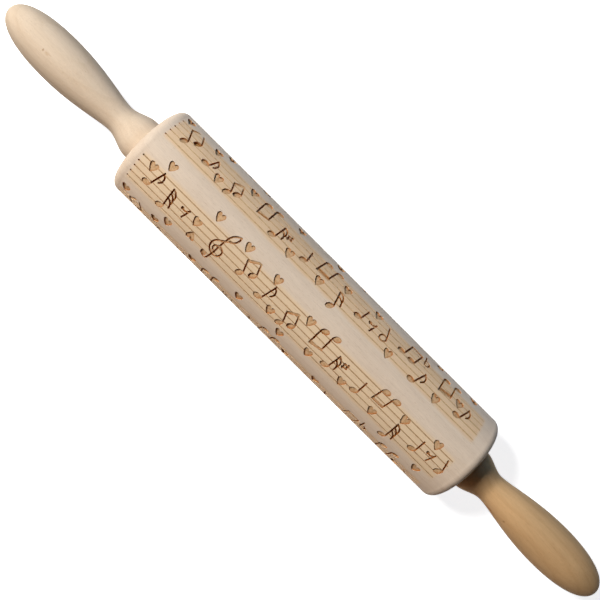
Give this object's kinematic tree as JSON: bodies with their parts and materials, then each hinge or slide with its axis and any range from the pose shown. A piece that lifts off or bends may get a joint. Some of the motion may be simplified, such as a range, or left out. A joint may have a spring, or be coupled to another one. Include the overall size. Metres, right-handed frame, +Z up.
{
  "type": "embossed rolling pin",
  "caption": "Wooden rolling pin with turned handles, whose free-spinning barrel is engraved with staves of music notes and hearts to emboss dough.",
  "frame": {"origin": "middle of the barrel, on the axle's axis", "axes": "+X along the axle towards the right handle, +Z up, so that the pin lies on a table with its axle level"},
  "size_m": [0.43, 0.0534, 0.0532],
  "materials": {
    "barrel_wood": "satin",
    "left_handle_wood": "satin",
    "right_handle_wood": "satin",
    "rod_steel": "drawn",
    "bush_nylon": "matte",
    "washer_steel": "brushed"
  },
  "bodies": {
    "handles": {"axle_rod": "rod_steel", "left_handle": "left_handle_wood", "right_handle": "right_handle_wood", "left_washer": "washer_steel", "right_washer": "washer_steel"},
    "barrel": {"barrel": "barrel_wood", "left_bush": "bush_nylon", "right_bush": "bush_nylon"}
  },
  "joints": [
    {"name": "barrel_spin", "type": "hinge", "parent": "handles", "child": "barrel", "pos_m": [0, 0, 0], "axis": [1, 0, 0], "continuous": true}
  ]
}
